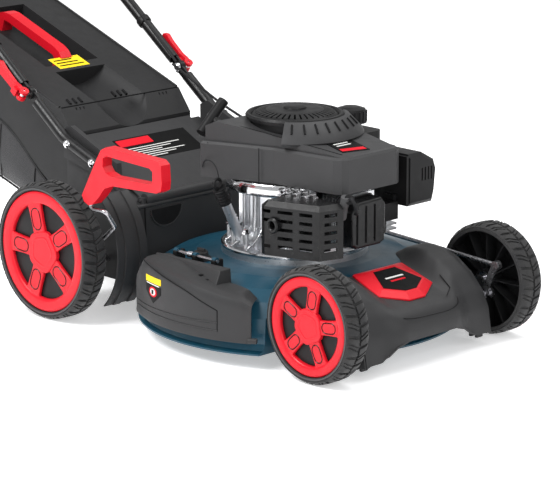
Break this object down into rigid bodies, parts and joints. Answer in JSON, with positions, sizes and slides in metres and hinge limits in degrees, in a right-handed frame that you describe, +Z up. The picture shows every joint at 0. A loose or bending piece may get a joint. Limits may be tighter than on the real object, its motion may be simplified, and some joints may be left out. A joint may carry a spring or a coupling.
{
  "type": "lawn mower",
  "caption": "Petrol push lawn mower with a round steel deck, four spoked wheels, a rear grass bag, a side outlet flap and a folding tube handle.",
  "frame": {"origin": "middle of the underside of the whole mower's bounding box, on the ground between the wheels and the handle's end", "axes": "+X forwards, +Y to the operator's left, +Z up"},
  "size_m": [1.7274, 0.605, 1.0542],
  "materials": {
    "deck_paint": "satin",
    "dark_plastic": "satin",
    "grey_plastic": "satin",
    "black_plastic": "satin",
    "red_plastic": "gloss",
    "black_paint": "satin",
    "cast_aluminium": "cast",
    "machined_aluminium": "machined",
    "steel": "brushed",
    "bright_plating": "polished",
    "rubber": "matte",
    "tyre": "matte",
    "bag_cloth": "woven"
  },
  "bodies": {
    "chassis": {"deck_shell": "deck_paint", "front_cover": "dark_plastic", "front_badge": "red_plastic", "rear_housing": "dark_plastic", "handle_brackets": "dark_plastic", "lower_handle": "black_paint", "fasteners": "bright_plating", "hinge_pins": "steel", "engine_base": "cast_aluminium", "crankcase": "cast_aluminium", "cylinder_head": "cast_aluminium", "rocker_cover": "black_paint", "muffler": "steel", "muffler_guard": "black_paint", "carburettor": "black_plastic", "fan_shroud": "black_plastic", "recoil_cover": "black_plastic", "fuel_tank": "black_plastic", "spark_plug": "rubber", "piston": "machined_aluminium", "brake_cable_lower": "rubber"},
    "side_flap": {"side_flap": "grey_plastic"},
    "rear_flap": {"rear_flap": "dark_plastic"},
    "grass_bag": {"bag_hood": "grey_plastic", "bag_body": "bag_cloth", "bag_frame": "black_paint", "bag_handle": "red_plastic"},
    "upper_handle": {"upper_handle": "black_paint", "brake_cable_upper": "rubber", "pivot_bolts": "bright_plating"},
    "cam_lever_right": {"cam_lever_right": "red_plastic"},
    "cam_lever_left": {"cam_lever_left": "red_plastic"},
    "bail": {"bail": "black_paint"},
    "starter_grip": {"starter_grip": "black_plastic"},
    "fuel_cap": {"fuel_cap": "black_plastic"},
    "dipstick": {"dipstick": "black_plastic"},
    "air_filter_cover": {"air_filter_cover": "black_plastic"},
    "crank": {"crankshaft": "steel", "flywheel": "cast_aluminium", "blade": "steel", "blade_adapter": "steel"},
    "front_axle": {"front_axle": "steel", "front_bearings": "steel"},
    "rear_axle": {"rear_axle": "steel", "rear_bearings": "steel", "height_grip": "red_plastic"},
    "link_rod": {"link_rod": "steel"},
    "front_right_wheel": {"front_right_tyre": "tyre", "front_right_wheel": "black_plastic", "front_right_cover": "red_plastic"},
    "front_left_wheel": {"front_left_tyre": "tyre", "front_left_wheel": "black_plastic", "front_left_cover": "red_plastic"},
    "rear_right_wheel": {"rear_right_tyre": "tyre", "rear_right_wheel": "black_plastic", "rear_right_cover": "red_plastic"},
    "rear_left_wheel": {"rear_left_tyre": "tyre", "rear_left_wheel": "black_plastic", "rear_left_cover": "red_plastic"}
  },
  "joints": [
    {"name": "rear_height", "type": "hinge", "parent": "chassis", "child": "rear_axle", "pos_m": [0.16224, 0, 0.097], "axis": [0, 1, 0], "range_deg": [-38, 0]},
    {"name": "front_height", "type": "hinge", "parent": "chassis", "child": "front_axle", "pos_m": [0.78724, 0, 0.084], "axis": [0, 1, 0], "range_deg": [-47.5, 0]},
    {"name": "link_swing", "type": "hinge", "parent": "rear_axle", "child": "link_rod", "pos_m": [0.18665, 0.181, 0.16791], "axis": [0, 1, 0], "range_deg": [0, 38.5]},
    {"name": "front_right_wheel_spin", "type": "hinge", "parent": "front_axle", "child": "front_right_wheel", "pos_m": [0.76224, -0.2225, 0.1015], "axis": [0, 1, 0], "continuous": true},
    {"name": "front_left_wheel_spin", "type": "hinge", "parent": "front_axle", "child": "front_left_wheel", "pos_m": [0.76224, 0.2225, 0.1015], "axis": [0, 1, 0], "continuous": true},
    {"name": "rear_right_wheel_spin", "type": "hinge", "parent": "rear_axle", "child": "rear_right_wheel", "pos_m": [0.13224, -0.2765, 0.127], "axis": [0, 1, 0], "continuous": true},
    {"name": "rear_left_wheel_spin", "type": "hinge", "parent": "rear_axle", "child": "rear_left_wheel", "pos_m": [0.13224, 0.2765, 0.127], "axis": [0, 1, 0], "continuous": true},
    {"name": "crank_spin", "type": "hinge", "parent": "chassis", "child": "crank", "pos_m": [0.49724, 0, 0.045], "axis": [0, 0, 1], "continuous": true},
    {"name": "side_flap_hinge", "type": "hinge", "parent": "chassis", "child": "side_flap", "pos_m": [0.46224, -0.222, 0.166], "axis": [-1, 0, 0], "range_deg": [0, 70], "stiffness_Nm_per_rad": 0.5, "springref_deg": -34.38},
    {"name": "rear_flap_hinge", "type": "hinge", "parent": "chassis", "child": "rear_flap", "pos_m": [0.23724, 0, 0.216], "axis": [0, 1, 0], "range_deg": [0, 55], "stiffness_Nm_per_rad": 0.3, "springref_deg": -28.65},
    {"name": "bag_lift", "type": "slide", "parent": "chassis", "child": "grass_bag", "axis": [-0.6, 0, 0.8], "range_m": [0, 0.15]},
    {"name": "handle_fold", "type": "hinge", "parent": "chassis", "child": "upper_handle", "pos_m": [-0.02476, 0, 0.38478], "axis": [0, 1, 0], "range_deg": [0, 130]},
    {"name": "cam_right_open", "type": "hinge", "parent": "upper_handle", "child": "cam_lever_right", "pos_m": [-0.02476, -0.208, 0.38478], "axis": [0.5948, 0, 0.8039], "range_deg": [0, 100]},
    {"name": "cam_left_open", "type": "hinge", "parent": "upper_handle", "child": "cam_lever_left", "pos_m": [-0.02476, 0.208, 0.38478], "axis": [-0.5948, 0, -0.8039], "range_deg": [0, 100]},
    {"name": "bail_squeeze", "type": "hinge", "parent": "upper_handle", "child": "bail", "pos_m": [-0.7, 0, 0.88443], "axis": [0, -1, 0], "range_deg": [0, 19], "stiffness_Nm_per_rad": 2, "springref_deg": -28.65},
    {"name": "starter_pull", "type": "slide", "parent": "chassis", "child": "starter_grip", "axis": [-0.8, 0, 0.6], "range_m": [0, 0.06], "stiffness_N_per_m": 150, "springref_m": -0.02},
    {"name": "fuel_cap_turn", "type": "hinge", "parent": "chassis", "child": "fuel_cap", "pos_m": [0.51124, 0.117, 0.37], "axis": [0, 0, 1], "range_deg": [0, 270]},
    {"name": "dipstick_pull", "type": "slide", "parent": "chassis", "child": "dipstick", "axis": [0, -0.46, 0.8879], "range_m": [0, 0.07]},
    {"name": "filter_cover_open", "type": "hinge", "parent": "chassis", "child": "air_filter_cover", "pos_m": [0.62574, 0.102, 0.238], "axis": [-1, 0, 0], "range_deg": [0, 75]}
  ],
  "couplings": [
    {"joint": "front_height", "follows": "rear_height", "ratio": 1.25},
    {"joint": "link_swing", "follows": "rear_height", "ratio": -1}
  ]
}
